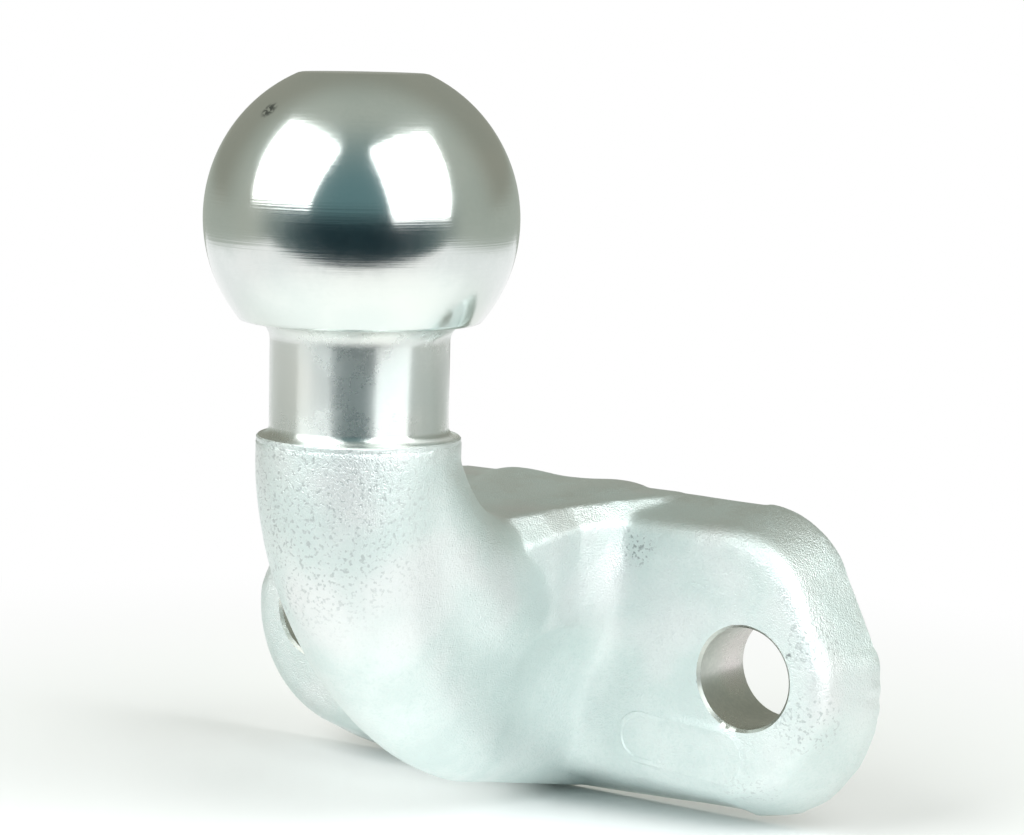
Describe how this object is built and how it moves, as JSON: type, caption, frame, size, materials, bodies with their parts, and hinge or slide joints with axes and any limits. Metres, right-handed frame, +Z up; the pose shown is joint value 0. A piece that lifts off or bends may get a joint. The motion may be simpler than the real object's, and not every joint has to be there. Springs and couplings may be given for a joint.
{
  "type": "tow ball",
  "caption": "Flange-type tow ball for a trailer coupling: turned ball with a flat top on a short neck and collar, on a forged elbow bent back into a bolt-on flange with rounded ears.",
  "frame": {"origin": "on the mounting face, midway between the axes of the bolt holes", "axes": "+Z up along the ball's neck, +Y out of the mounting face into the tow bar's bracket, X along the line of the bolt holes; the ball stands towards -Y"},
  "size_m": [0.126, 0.085, 0.1254],
  "materials": {
    "zinc_plated_steel": "bright zinc plate: turned and shiny on the ball and neck, fine grit-blasted grain on the forging"
  },
  "bodies": {
    "root": {"tow_ball": "zinc_plated_steel"}
  },
  "joints": []
}
